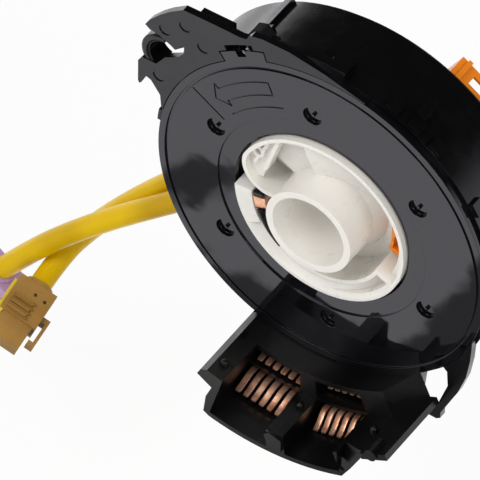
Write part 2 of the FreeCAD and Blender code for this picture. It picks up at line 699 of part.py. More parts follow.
def make_lead_hood():
    length, width, height = hood_size
    base = plate_front_y
    body = hood_frame(box(-length / 2, length / 2, base, base + height, -width / 2, width / 2))
    edges = [e for e in body.Edges if e.BoundBox.YLength > height - 0.1]
    body = body.makeChamfer(2.0, edges)
    tops = [e for e in body.Edges if e.BoundBox.YMin > base + height - 0.1]
    body = body.makeChamfer(1.0, tops)
    for route in (front_lead_route, rear_lead_route):
        start = FreeCAD.Vector(*route[0])
        along = (FreeCAD.Vector(*route[1]) - start).normalize()
        collar = Part.makeCylinder(lead_diameter / 2 + lead_collar_wall, lead_collar_length,
                                   start - along * lead_collar_length, along)
        body = body.fuse(collar)
    for route in (front_lead_route, rear_lead_route):
        start = FreeCAD.Vector(*route[0])
        along = (FreeCAD.Vector(*route[1]) - start).normalize()
        bore = Part.makeCylinder(lead_diameter / 2, lead_grip + 8.0, start - along * lead_grip, along)
        body = body.cut(bore)
    return body.cut(box(-90, 90, plate_y - 30, base, -90, 90)).removeSplitter()


def lead_path(route):
    # Straight runs joined by arcs that touch both runs.
    points = [FreeCAD.Vector(*p) for p in route]
    start = points[0]
    along = (points[1] - points[0]).normalize()
    cursor = start - along * lead_grip
    edges = []
    radii = []
    for before, corner, after in zip(points, points[1:], points[2:]):
        arriving = corner - before
        leaving = after - corner
        turn = arriving.getAngle(leaving)
        cut_back = 0.45 * min(arriving.Length, leaving.Length)
        radius = cut_back / math.tan(turn / 2)
        radii.append(radius)
        first = corner - arriving.normalize() * cut_back
        last = corner + leaving.normalize() * cut_back
        inward = ((first + last) * 0.5 - corner).normalize()
        centre = corner + inward * (radius / math.cos(turn / 2))
        middle = centre - inward * radius
        edges.append(Part.LineSegment(cursor, first).toShape())
        edges.append(Part.Arc(first, middle, last).toShape())
        cursor = last
    edges.append(Part.LineSegment(cursor, points[-1]).toShape())
    return Part.Wire(edges), radii


def make_lead(name, route):
    path, radii = lead_path(route)
    start = path.Vertexes[0].Point
    along = (FreeCAD.Vector(*route[1]) - FreeCAD.Vector(*route[0])).normalize()
    circle = Part.Wire(Part.Circle(start, along, lead_diameter / 2).toShape())
    tube = path.makePipeShell([circle], True, False)
    section = math.pi * (lead_diameter / 2) ** 2
    print(name, "bend radii", [round(r, 1) for r in radii], "length", round(path.Length, 1),
          "volume ratio", round(tube.Volume / (section * path.Length), 4))
    return tube


def squib_frame(shape, route, facing):
    # The connector follows the lead's last run, its wide face as near to the facing direction as it can be.
    before, end = (FreeCAD.Vector(*p) for p in route[-2:])
    up = (before - end).normalize()
    side = (-facing).cross(up).normalize()
    copy = shape.copy()
    turn = FreeCAD.Rotation(side, up.cross(side), up, "ZXY")
    copy.Placement = FreeCAD.Placement(end, turn)
    return copy


def squib_body():
    w, t, length = squib_width, squib_thickness, squib_length
    head = box(-w / 2, w / 2, -t / 2, t / 2, -length * 0.62, 0.0)
    nose = box(-w / 2 + 1.0, w / 2 - 1.0, -t / 2 + 1.0, t / 2 - 0.8, -length, -length * 0.5)
    collar = Part.makeCylinder(lead_diameter / 2 + 0.9, 1.4, origin, FreeCAD.Vector(0, 0, 1))
    collar = collar.cut(Part.makeCylinder(lead_diameter / 2, 3.0, origin - FreeCAD.Vector(0, 0, 1),
                                          FreeCAD.Vector(0, 0, 1)))
    body = fused([head, nose, collar])
    # Finger ridges on the wide face.
    for index in range(3):
        low = -length * 0.56 + index * 1.9
        body = body.fuse(box(-w / 2 + 1.6, w / 2 - 4.4, -t / 2 - 0.7, -t / 2 + 0.1, low, low + 1.0))
    # Two wire inspection holes.
    for x in (0.6, 3.9):
        body = body.cut(Part.makeCylinder(0.55, 2.0, FreeCAD.Vector(x, -t / 2 - 0.5, -3.2 - x * 0.1), axis))
    # Springy latch arm at one edge, with its gap.
    arm = box(w / 2 - joined_eps, w / 2 + 2.4, -t / 2 + 1.6, t / 2 - 2.4, -length * 0.84, -length * 0.36)
    arm = arm.cut(box(w / 2, w / 2 + 1.4, -t, t, -length * 0.78, -length * 0.44))
    body = body.fuse(arm).removeSplitter()
    return body.cut(lock_shape(0.0, lock_fit)).cut(lock_shape(-lock_travel, lock_fit)).removeSplitter()


def lock_shape(slide, grow):
    # Flat lock that slides along the connector on its left side.
    w, t, length = squib_width, squib_thickness, squib_length
    plate_part = box(-w / 2 - 0.9 - grow, -w / 2 + 1.2 + grow, -t / 2 + 1.4 - grow, t / 2 - 1.4 + grow,
                     -length * 0.60 - grow, -1.8 + grow)
    head = box(-w / 2 - 1.6 - grow, -w / 2 + 1.2 + grow, -t / 2 + 0.8 - grow, t / 2 - 0.8 + grow,
               -length * 0.66 - grow, -length * 0.52 + grow)
    lock = plate_part.fuse(head).removeSplitter()
    lock.translate(FreeCAD.Vector(0, 0, -slide))
    return lock


def coil_radii():
    outer_start = case_bore - ribbon_thickness / 2
    inner_end = drum_radius + coil_gap + ribbon_thickness / 2
    outer_end = outer_start - outer_turns * ribbon_pitch
    inner_start = inner_end + inner_turns * ribbon_pitch
    return outer_start, outer_end, inner_start, inner_end


def arc_edge(centre_x, radius, side, y, start_sign):
    start = point(centre_x + start_sign * radius, 0, y)
    end = point(centre_x - start_sign * radius, 0, y)
    middle = point(centre_x, side * radius, y)
    return Part.Arc(start, middle, end).toShape()


def make_flat_cable():
    # Each coil is half circles whose centres swap about the axis, so that each half is smaller.
    outer_start, outer_end, inner_start, inner_end = coil_radii()
    y0 = carrier_y + carrier_thickness + 0.7
    half = ribbon_thickness / 2
    sides = []
    for offset in (half, -half):
        edges = []
        sign = 1
        centre = 0.0
        radius = outer_start
        up = 1
        for _ in range(outer_turns * 2):
            edges.append(arc_edge(centre, radius + offset, up, y0, sign))
            step = ribbon_pitch / 2
            centre -= step * sign
            radius -= step
            sign, up = -sign, -up
        # U-turn back between the two coils at +X.
        outer_x = centre + sign * radius
        inner_x = inner_start
        loop_centre = (outer_x + inner_x) / 2
        loop_radius = (outer_x - inner_x) / 2
        start = point(loop_centre + loop_radius + offset, 0, y0)
        end = point(loop_centre - loop_radius - offset, 0, y0)
        middle = point(loop_centre, up * (loop_radius + offset), y0)
        edges.append(Part.Arc(start, middle, end).toShape())
        centre = 0.0
        radius = inner_x
        up = -up
        sign = 1
        for _ in range(inner_turns * 2):
            edges.append(arc_edge(centre, radius - offset, up, y0, sign))
            step = ribbon_pitch / 2
            centre -= step * sign
            radius -= step
            sign, up = -sign, -up
        sides.append(edges)
    first, second = sides
    caps = [
        Part.LineSegment(first[0].Vertexes[0].Point, second[0].Vertexes[0].Point).toShape(),
        Part.LineSegment(first[-1].Vertexes[-1].Point, second[-1].Vertexes[-1].Point).toShape(),
    ]
    wire = Part.Wire(Part.__sortEdges__(first + second + caps))
    return Part.Face(wire).extrude(FreeCAD.Vector(0, ribbon_width, 0))


def loop_place():
    outer_start, outer_end, inner_start, inner_end = coil_radii()
    return (outer_end + inner_start) / 2, (outer_end - inner_start) / 2


def roller_places():
    # The U-turn roller first, then the idlers, evenly round the carrier.
    centre_radius, loop_radius = loop_place()
    places = [("u_turn_roller", 0.0, loop_radius - ribbon_thickness / 2 - roller_clearance)]
    for index in range(idler_count):
        name = "idler_roller_%d" % (index + 1)
        places.append((name, (index + 1) * 360.0 / (idler_count + 1), idler_radius))
    return centre_radius, places


def roller_span():
    bottom = carrier_y + carrier_thickness + 0.3
    return bottom, bottom + ribbon_width + 0.8


def make_carrier():
    centre_radius, places = roller_places()
    bottom, top = roller_span()
    pieces = [ring(carrier_outer, carrier_inner, carrier_y, carrier_y + carrier_thickness)]
    for _, angle, _ in places:
        spot = at(centre_radius, angle)
        pieces.append(disc(pin_radius, carrier_y, top, (spot.x, spot.z)))
    return fused(pieces)


def make_roller(angle, radius):
    centre_radius, _ = roller_places()
    bottom, top = roller_span()
    spot = at(centre_radius, angle)
    place = (spot.x, spot.z)
    return disc(radius, bottom, top, place).cut(disc(pin_radius + pin_play, bottom - 1, top + 1, place))


def build():
    parts = {}
    rows = {
        "left_pins_lower": make_blade_row(left_row_angle, lower_row_radius, lower_blade_pitch,
                                          left_blade_reach, 2.2),
        "left_pins_upper": make_blade_row(left_upper_row_angle, upper_row_radius, upper_blade_pitch,
                                          upper_blade_reach, 0.3),
        "right_pins_lower": make_blade_row(right_row_angle, lower_row_radius, lower_blade_pitch,
                                           right_blade_reach, 3.0),
        "right_pins_upper": make_blade_row(right_row_angle, upper_row_radius, right_upper_pitch,
                                           right_upper_reach, 0.2),
    }
    block = make_connector_block()
    for name, row in rows.items():
        block = block.cut(row)
        parts[name] = row
    parts["connector_block"] = block
    parts["case"] = make_case()
    parts["rear_cover"] = make_rear_cover()
    parts["rotor_hub"] = make_rotor_hub()
    parts["terminal_holder"] = make_terminal_holder()
    parts["link_clip"] = make_link_clip()
    parts["ground_link"] = make_ground_link()
    parts["rotor_plate"] = make_rotor_plate()
    parts["switch_connector"] = make_switch_connector()
    parts["switch_pins"] = make_switch_pins()
    parts["lead_hood"] = make_lead_hood()
    parts["lead_front"] = make_lead("front lead", front_lead_route)
    parts["lead_rear"] = make_lead("rear lead", rear_lead_route)
    body = squib_body()
    lock = lock_shape(0.0, 0.0)
    parts["squib_lilac"] = squib_frame(body, front_lead_route, lilac_facing)
    parts["squib_lilac_lock"] = squib_frame(lock, front_lead_route, lilac_facing)
    parts["squib_tan"] = squib_frame(body, rear_lead_route, tan_facing)
    parts["squib_tan_lock"] = squib_frame(lock, rear_lead_route, tan_facing)
    parts["carrier"] = make_carrier()
    _, places = roller_places()
    for name, angle, radius in places:
        parts[name] = make_roller(angle, radius)
    parts["flat_cable"] = make_flat_cable()
    return parts


os.makedirs("parts", exist_ok=True)
for node, solid in build().items():
    if not solid.isValid():
        print(node, "is not valid")
    print(node, len(solid.Solids), "solids", round(solid.Volume, 1))
    solid.exportStep("parts/" + node + ".step")
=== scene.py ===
import json
import logging
import math
from dataclasses import dataclass
from enum import Enum
from typing import Sequence

import bmesh
import bpy
import numpy as np
from mathutils import Matrix, Vector


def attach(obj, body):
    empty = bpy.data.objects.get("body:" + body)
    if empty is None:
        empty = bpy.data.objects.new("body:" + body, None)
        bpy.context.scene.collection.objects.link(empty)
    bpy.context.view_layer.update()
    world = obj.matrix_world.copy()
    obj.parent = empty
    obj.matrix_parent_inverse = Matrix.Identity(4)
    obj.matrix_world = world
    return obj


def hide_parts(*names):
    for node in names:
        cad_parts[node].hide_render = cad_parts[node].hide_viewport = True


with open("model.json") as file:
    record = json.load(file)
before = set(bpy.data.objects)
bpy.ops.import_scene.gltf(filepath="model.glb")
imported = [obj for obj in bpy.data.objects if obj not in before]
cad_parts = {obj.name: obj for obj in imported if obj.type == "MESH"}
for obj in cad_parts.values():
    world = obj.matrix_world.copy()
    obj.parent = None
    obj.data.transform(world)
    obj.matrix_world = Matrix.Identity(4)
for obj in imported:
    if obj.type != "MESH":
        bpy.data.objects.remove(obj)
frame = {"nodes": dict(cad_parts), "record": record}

log = logging.getLogger("clock_spring")

MM = 0.001

Colour = tuple[float, float, float]
Place = tuple[float, float, float]
Socket = bpy.types.NodeSocket

WHITE: Colour = (1.0, 1.0, 1.0)


# Finishes


@dataclass(frozen=True)
class Noise:
    """A noise pattern.

    Attributes:
        scale: how many blobs there are in a metre.
        octaves: how many finer layers it has.
        rough: how strong the finer layers are.
        stretch: factors on X, Y and Z.
    """

    scale: float
    octaves: float = 2.0
    rough: float = 0.5
    stretch: Place = (1.0, 1.0, 1.0)


FLOW_MARKS = Noise(45.0, 4.0, 0.55)
GLOSS_PATCHES = Noise(160.0, 5.0, 0.6)
SPARK_GRAIN = Noise(4200.0)
MOULD_SWELL = Noise(70.0)
HEAT_STAINS = Noise(420.0, 4.0, 0.6)
DRAWN_LINES = Noise(5000.0, stretch=(1.0, 0.04, 1.0))
SLEEVE_CLOUD = Noise(40.0, 2.0, 0.45)
SLEEVE_RIPPLE = Noise(260.0, 3.0)
SLEEVE_SKIN = Noise(3600.0)
# Wavy edges of the floor's painted reflection.
REFLECTION_EDGE_CLOUD = Noise(60.0, 3.0)

# Most values of a noise lie between these two.
NOISE_LOW = 0.3
NOISE_HIGH = 0.7


class NodeTree:
    """Short calls for a node tree of a material or of the world."""

    def __init__(self, tree: bpy.types.NodeTree) -> None:
        """Holds the tree."""
        self.tree = tree

    def add(self, kind: str, **values: object) -> bpy.types.Node:
        """Adds a node and sets its fields and unlinked inputs.

        Args:
            kind: the node's type name.
            values: the node's own fields, or its inputs with underscores for spaces.

        Returns:
            The new node.
        """
        node = self.tree.nodes.new(kind)
        for key, value in values.items():
            if hasattr(node, key):
                setattr(node, key, value)
            else:
                node.inputs[key.replace("_", " ")].default_value = value
        return node

    def link(self, source: Socket, target: Socket) -> None:
        """Joins two sockets."""
        self.tree.links.new(source, target)

    def give(self, value: Socket | float, target: Socket) -> None:
        """Feeds an input from a socket, or sets it to a number.

        Args:
            value: the socket or the number.
            target: the input.
        """
        if isinstance(value, bpy.types.NodeSocket):
            self.link(value, target)
        else:
            target.default_value = value

    def combine(self, operation: str, first: Socket, second: Socket | float) -> Socket:
        """The result of a sum with two values.

        Args:
            operation: what is done, such as MULTIPLY.
            first: a socket.
            second: another socket, or a number.

        Returns:
            The socket with the result.
        """
        node = self.add("ShaderNodeMath", operation=operation)
        self.link(first, node.inputs[0])
        self.give(second, node.inputs[1])
        return node.outputs[0]

    def mix(self, share: Socket, low: Socket | float, high: Socket | float) -> Socket:
        """A value that goes from low to high with a share.

        Args:
            share: from 0 to 1.
            low: the value at 0.
            high: the value at 1.

        Returns:
            The socket with the result.
        """
        node = self.add("ShaderNodeMix")
        self.link(share, node.inputs["Factor"])
        self.give(low, node.inputs["A"])
        self.give(high, node.inputs["B"])
        return node.outputs["Result"]

    def map_range(self, value: Socket, start: float, end: float,
                  low: float = 0.0, high: float = 1.0) -> Socket:
        """Maps start..end of a value to low..high.

        Args:
            value: the value's socket.
            start: the value that becomes low.
            end: the value that becomes high.
            low: the result at start.
            high: the result at end.

        Returns:
            The mapped value's socket.
        """
        node = self.add("ShaderNodeMapRange", From_Min=start, From_Max=end, To_Min=low, To_Max=high)
        self.link(value, node.inputs["Value"])
        return node.outputs["Result"]


class NodeSheet(NodeTree):
    """A new material with one Principled shader."""

    def __init__(self, name: str) -> None:
        """Starts the material."""
        self.material = bpy.data.materials.new(name)
        self.material.use_nodes = True
        super().__init__(self.material.node_tree)
        self.tree.nodes.clear()
        self.output = self.add("ShaderNodeOutputMaterial")
        self.shader = self.add("ShaderNodeBsdfPrincipled")
        self.link(self.shader.outputs["BSDF"], self.output.inputs["Surface"])
        self.place = self.add("ShaderNodeTexCoord").outputs["Object"]

    def noise(self, pattern: Noise) -> Socket:
        """Noise on the object's own coordinates.

        Args:
            pattern: what the noise is like.

        Returns:
            The noise's value socket.
        """
        mapping = self.add("ShaderNodeMapping", Scale=pattern.stretch)
        self.link(self.place, mapping.inputs["Vector"])
        noise = self.add("ShaderNodeTexNoise", Scale=pattern.scale, Detail=pattern.octaves,
                         Roughness=pattern.rough)
        self.link(mapping.outputs["Vector"], noise.inputs["Vector"])
        return noise.outputs["Fac"]

    def spread(self, noise: Socket, low: float, high: float) -> Socket:
        """Maps a noise to low..high, and returns the mapped value's socket."""
        return self.map_range(noise, NOISE_LOW, NOISE_HIGH, low, high)

    def ramp(self, value: Socket, stops: Sequence[tuple[float, Colour]]) -> Socket:
        """A colour ramp over a value.

        Args:
            value: what drives the ramp.
            stops: (place, colour) pairs in rising order, at least two.

        Returns:
            The colour socket.
        """
        node = self.add("ShaderNodeValToRGB")
        elements = node.color_ramp.elements
        while len(elements) < len(stops):
            elements.new(0.5)
        for element, (at, colour) in zip(elements, stops):
            element.position = at
            element.color = (*colour, 1.0)
        self.link(value, node.inputs["Fac"])
        return node.outputs["Color"]

    def bump(self, height: Socket, strength: float, distance: float,
             under: Socket | None = None) -> Socket:
        """A bump from a height value.

        Args:
            height: the height socket.
            strength: from 0 to 1.
            distance: the height of a full step, in metres.
            under: a normal that the bump adds to.

        Returns:
            The bumped normal's socket.
        """
        node = self.add("ShaderNodeBump", Strength=strength, Distance=distance)
        self.link(height, node.inputs["Height"])
        if under is not None:
            self.link(under, node.inputs["Normal"])
        return node.outputs["Normal"]


def shade(colour: Colour, factor: float) -> Colour:
    """A colour times a factor, kept within 0 and 1."""
    return tuple(min(1.0, max(0.0, c * factor)) for c in colour)


@dataclass(frozen=True)
class Moulded:
    """Injection-moulded plastic: a fine spark-eroded grain, faint flow marks and uneven gloss.

    Attributes:
        name: the material's name.
        colour: its colour.
        roughness: the middle of its gloss.
        gloss_spread: how far the gloss strays to both sides.
        mottle: the share by which the colour strays.
        grain: strength of the fine grain.
        wave: strength of the broad swell that bends reflections.
        subsurface: how much light seeps in.
        specular: strength of reflections.
        sheen: their tint.
    """

    name: str
    colour: Colour
    roughness: float
    gloss_spread: float = 0.06
    mottle: float = 0.08
    grain: float = 0.05
    wave: float = 0.12
    subsurface: float = 0.0
    specular: float = 0.5
    sheen: Colour = WHITE

    grain_height = 0.00006
    swell_height = 0.0004
    seep_colours = (1.0, 0.85, 0.6)
    seep_depth = 0.0015

    def build(self) -> bpy.types.Material:
        """Makes the material.

        Returns:
            The new material.
        """
        sheet = NodeSheet(self.name)
        inputs = sheet.shader.inputs
        tint = sheet.ramp(sheet.noise(FLOW_MARKS), [
            (NOISE_LOW, shade(self.colour, 1.0 - self.mottle)),
            (NOISE_HIGH, shade(self.colour, 1.0 + self.mottle))])
        sheet.link(tint, inputs["Base Color"])
        gloss = sheet.spread(sheet.noise(GLOSS_PATCHES), self.roughness - self.gloss_spread,
                             self.roughness + self.gloss_spread)
        sheet.link(gloss, inputs["Roughness"])
        swell = sheet.bump(sheet.noise(MOULD_SWELL), self.wave, self.swell_height)
        normal = sheet.bump(sheet.noise(SPARK_GRAIN), self.grain, self.grain_height, swell)
        sheet.link(normal, inputs["Normal"])
        inputs["Specular IOR Level"].default_value = self.specular
        inputs["Specular Tint"].default_value = (*self.sheen, 1.0)
        if self.subsurface:
            inputs["Subsurface Weight"].default_value = self.subsurface
            inputs["Subsurface Radius"].default_value = self.seep_colours
            inputs["Subsurface Scale"].default_value = self.seep_depth
        return sheet.material


@dataclass(frozen=True)
class Metal:
    """Stamped strip: drawn lines along one axis, small heat and handling stains.

    Attributes:
        name: the material's name.
        colour: its clean colour.
        stain: the colour of its stains.
        roughness: its gloss between the lines.
    """

    name: str
    colour: Colour
    stain: Colour
    roughness: float = 0.28

    metallic = 0.86
    stain_end = 0.34
    clean_start = 0.55
    bright_start = 0.75
    bright = 1.08
    smoother = 0.07
    rougher = 0.1
    line_strength = 0.18
    line_depth = 0.00003

    def build(self) -> bpy.types.Material:
        """Makes the material.

        Returns:
            The new material.
        """
        sheet = NodeSheet(self.name)
        inputs = sheet.shader.inputs
        tint = sheet.ramp(sheet.noise(HEAT_STAINS), [
            (self.stain_end, self.stain), (self.clean_start, self.colour),
            (self.bright_start, shade(self.colour, self.bright))])
        sheet.link(tint, inputs["Base Color"])
        inputs["Metallic"].default_value = self.metallic
        drawn = sheet.noise(DRAWN_LINES)
        gloss = sheet.spread(drawn, self.roughness - self.smoother, self.roughness + self.rougher)
        sheet.link(gloss, inputs["Roughness"])
        sheet.link(sheet.bump(drawn, self.line_strength, self.line_depth), inputs["Normal"])
        return sheet.material


@dataclass(frozen=True)
class Sleeve:
    """Soft extruded tube: smooth skin with long faint ripples and a broad soft sheen.

    Attributes:
        name: the material's name.
        colour: its colour.
        deep: the colour of its darker clouds.
    """

    name: str
    colour: Colour
    deep: Colour

    deep_end = 0.3
    clear_start = 0.6
    bright_start = 0.8
    bright = 1.03
    gloss = (0.3, 0.38)
    ripple_strength = 0.12
    ripple_height = 0.0002
    skin_strength = 0.03
    skin_height = 0.00003
    specular = 0.16
    sheen = (1.0, 0.85, 0.4, 1.0)
    coat = 0.05
    coat_roughness = 0.14

    def build(self) -> bpy.types.Material:
        """Makes the material.

        Returns:
            The new material.
        """
        sheet = NodeSheet(self.name)
        inputs = sheet.shader.inputs
        tint = sheet.ramp(sheet.noise(SLEEVE_CLOUD), [
            (self.deep_end, self.deep), (self.clear_start, self.colour),
            (self.bright_start, shade(self.colour, self.bright))])
        sheet.link(tint, inputs["Base Color"])
        ripple = sheet.noise(SLEEVE_RIPPLE)
        sheet.link(sheet.spread(ripple, *self.gloss), inputs["Roughness"])
        wave = sheet.bump(ripple, self.ripple_strength, self.ripple_height)
        skin = sheet.bump(sheet.noise(SLEEVE_SKIN), self.skin_strength, self.skin_height, wave)
        sheet.link(skin, inputs["Normal"])
        inputs["Specular IOR Level"].default_value = self.specular
        inputs["Specular Tint"].default_value = self.sheen
        inputs["Coat Weight"].default_value = self.coat
        inputs["Coat Roughness"].default_value = self.coat_roughness
        return sheet.material


class Finish(Enum):
    """Every finish of the part."""

    CASE = Moulded("case_black", (0.0022, 0.0022, 0.0025), 0.24, wave=0.25, specular=0.45,
                   sheen=(0.93, 0.91, 1.0))
    COVER = Moulded("cover_black", (0.0035, 0.0035, 0.0045), 0.04, gloss_spread=0.02, grain=0.01,
                    specular=0.6, sheen=(0.9, 0.88, 1.0))
    BLOCK = Moulded("block_black", (0.002, 0.002, 0.0023), 0.32, grain=0.07, wave=0.35, specular=0.42)
    HOOD = Moulded("hood_black", (0.006, 0.006, 0.0065), 0.38, grain=0.08)
    ROTOR = Moulded("rotor_grey", (0.012, 0.012, 0.013), 0.4, grain=0.08)
    HUB = Moulded("hub_white", (0.82, 0.795, 0.745), 0.3, mottle=0.02, grain=0.06, subsurface=0.35)
    NATURAL = Moulded("carrier_natural", (0.78, 0.77, 0.72), 0.4, mottle=0.04, subsurface=0.15)
    ORANGE = Moulded("terminal_orange", (0.85, 0.24, 0.004), 0.3, mottle=0.07, subsurface=0.1)
    TAN = Moulded("squib_tan", (0.38, 0.205, 0.05), 0.28, mottle=0.22, wave=0.3, specular=0.4)
    LILAC = Moulded("squib_lilac", (0.55, 0.36, 0.6), 0.32, wave=0.2)
    LOCK = Moulded("lock_yellow", (0.8, 0.6, 0.05), 0.3)
    CLIP = Moulded("clip_black", (0.012, 0.012, 0.012), 0.36)
    FILM = Moulded("cable_film", (0.62, 0.28, 0.07), 0.24, mottle=0.06)
    COPPER = Metal("blade_copper", (1.0, 0.58, 0.4), (0.8, 0.34, 0.2), 0.34)
    TIN = Metal("pin_tin", (0.72, 0.72, 0.7), (0.5, 0.49, 0.47))
    YELLOW = Sleeve("sleeve_yellow", (0.76, 0.49, 0.001), (0.56, 0.33, 0.0008))


NODE_FINISH: dict[str, Finish] = {
    "case": Finish.CASE, "rear_cover": Finish.COVER, "connector_block": Finish.BLOCK,
    "left_pins_lower": Finish.COPPER, "left_pins_upper": Finish.COPPER,
    "right_pins_lower": Finish.COPPER, "right_pins_upper": Finish.COPPER,
    "flat_cable": Finish.FILM, "rotor_hub": Finish.HUB, "rotor_plate": Finish.ROTOR,
    "terminal_holder": Finish.ORANGE, "link_clip": Finish.CLIP, "ground_link": Finish.COPPER,
    "switch_connector": Finish.ORANGE, "switch_pins": Finish.TIN, "lead_hood": Finish.HOOD,
    "lead_front": Finish.YELLOW, "lead_rear": Finish.YELLOW,
    "squib_lilac": Finish.LILAC, "squib_tan": Finish.TAN,
    "squib_lilac_lock": Finish.LOCK, "squib_tan_lock": Finish.LOCK, "carrier": Finish.NATURAL,
    "u_turn_roller": Finish.NATURAL, **{f"idler_roller_{n}": Finish.NATURAL for n in range(1, 6)},
}


class Wardrobe:
    """The materials, each built once."""

    def __init__(self) -> None:
        """Starts empty."""
        self.made: dict[Finish, bpy.types.Material] = {}

    def get(self, finish: Finish) -> bpy.types.Material:
        """The finish's material, built when it is first asked for.

        Args:
            finish: which one.

        Returns:
            The material.
        """
        if finish not in self.made:
            self.made[finish] = finish.value.build()
        return self.made[finish]


# What the pieces share


def body_with(node: str) -> str:
    """The name of the body that holds a CAD node.

    Args:
        node: the CAD node.

    Returns:
        The body's name in the record.

    Raises:
        KeyError: when no body holds the node.
    """
    for body, nodes in frame["record"]["behaviour"]["bodies"].items():
        if node in nodes:
            return body
    raise KeyError(node)


def fitted(name: str, data: bpy.types.ID, node: str) -> bpy.types.Object:
    """A new piece that takes a CAD node's place.

    Args:
        name: the piece's name.
        data: its mesh or curve.
        node: the CAD node, whose body it rides on and which it hides.

    Returns:
        The new object.
    """
    piece = bpy.data.objects.new(name, data)
    bpy.context.scene.collection.objects.link(piece)
    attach(piece, body_with(node))
    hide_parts(node)
    return piece


def tube_faces(rings: int, corners: int, first: int = 0) -> list[list[int]]:
    """Faces of a closed tube through equal rings of corners, with both ends capped.

    Each side face joins two neighbouring corners of a ring with the same two of the next ring.

    Args:
        rings: how many rings follow each other.
        corners: how many corners each ring has.
        first: the index of the first corner.

    Returns:
        The corner indices of each face.
    """
    i, j = np.meshgrid(np.arange(rings - 1), np.arange(corners), indexing="ij")
    beside = (j + 1) % corners
    sides = np.stack([i * corners + j, i * corners + beside, (i + 1) * corners + beside,
                      (i + 1) * corners + j], axis=2).reshape(-1, 4)
    start = np.arange(corners)[::-1]
    end = np.arange(corners) + (rings - 1) * corners
    return [*(sides + first).tolist(), (start + first).tolist(), (end + first).tolist()]


def mesh_through(name: str, points: np.ndarray, faces: list[list[int]]) -> bpy.types.Mesh:
    """A new mesh.

    Args:
        name: the mesh's name.
        points: its corners in millimetres, in an array whose last side holds x, y and z.
        faces: the corner indices of each face.

    Returns:
        The mesh.
    """
    mesh = bpy.data.meshes.new(name)
    mesh.from_pydata((points.reshape(-1, 3) * MM).tolist(), [], faces)
    return mesh


def smooth_up_to(mesh: bpy.types.Mesh, angle: float) -> None:
    """Shades a mesh smooth, apart from edges that are sharper than an angle in degrees."""
    mesh.polygons.foreach_set("use_smooth", np.ones(len(mesh.polygons), dtype=bool))
    mesh.set_sharp_from_angle(angle=math.radians(angle))


# Moulded pieces


@dataclass(frozen=True)
class Band:
    """A bar of one section that runs round the turning axis.

    Attributes:
        section: its (radius, y) corners, from the inner one on the wheel side outwards and round.
        start: first angle, in degrees.
        end: last angle.
        steps: how many sections it is drawn with.
    """

    section: tuple[tuple[float, float], ...]
    start: float
    end: float
    steps: int = 16

    def mesh(self) -> bpy.types.Mesh:
        """Makes the bar: its section turns about the axis in even steps, from start to end.

        Returns:
            The bar's mesh.
        """
        turn = np.radians(np.linspace(self.start, self.end, self.steps))[:, None]
        radius, depth = np.array(self.section).T
        points = np.stack([np.cos(turn) * radius, depth + 0 * turn, np.sin(turn) * radius], axis=2)
        return mesh_through("band", points, tube_faces(self.steps, len(self.section)))


@dataclass(frozen=True)
class Roll:
    """A round bar that follows an arc in the column-side plane.

    Attributes:
        centre: the arc's middle, as (x, z).
        radius: the arc's radius.
        start: first angle, in degrees.
        end: last angle.
        depth: the bar's place along the turning axis.
        thickness: the bar's radius.
        steps: how many circles it is drawn with.
        sides: how many corners each circle has.
    """

    centre: tuple[float, float]
    radius: float
    start: float
    end: float
    depth: float
    thickness: float
    steps: int = 22
    sides: int = 18

    def mesh(self) -> bpy.types.Mesh:
        """Makes the bar.

        A circle of the bar's thickness is carried along the arc. Its plane always holds the arc's
        centre and the turning axis, and its middle stays at one depth.

        Returns:
            The bar's mesh.
        """
        turn = np.radians(np.linspace(self.start, self.end, self.steps))[:, None]
        around = np.linspace(0.0, 2 * math.pi, self.sides, endpoint=False)[None, :]
        reach = self.radius + self.thickness * np.cos(around)
        points = np.stack([self.centre[0] + reach * np.cos(turn),
                           self.depth + self.thickness * np.sin(around) + 0 * turn,
                           self.centre[1] + reach * np.sin(turn)], axis=2)
        return mesh_through("roll", points, tube_faces(self.steps, self.sides))


@dataclass(frozen=True)
class Dome:
    """A round cap on a peg that stands up.

    Attributes:
        top: middle of the peg's end.
        radius: the peg's radius.
        height: how far the cap stands up from it.
        sides: how many corners each circle has.
    """

    top: Place
    radius: float = 1.1
    height: float = 0.75
    sides: int = 18

    rises = (-12.0, 8.0, 28.0, 48.0, 68.0, 90.0)

    def mesh(self) -> bpy.types.Mesh:
        """Makes the cap.

        It is half an ellipsoid. Each circle's reach is the cosine of its rise times the radius, and
        its height the sine times the cap's height. The last circle closes to a point.

        Returns:
            The cap's mesh.
        """
        rise = np.radians(self.rises)[:, None]
        around = np.linspace(0.0, 2 * math.pi, self.sides, endpoint=False)[None, :]
        reach = self.radius * np.cos(rise)
        points = np.stack([self.top[0] + reach * np.cos(around), self.top[1] + reach * np.sin(around),
                           self.top[2] + self.height * np.sin(rise) + 0 * around], axis=2)
        return mesh_through("dome", points, tube_faces(len(self.rises), self.sides))


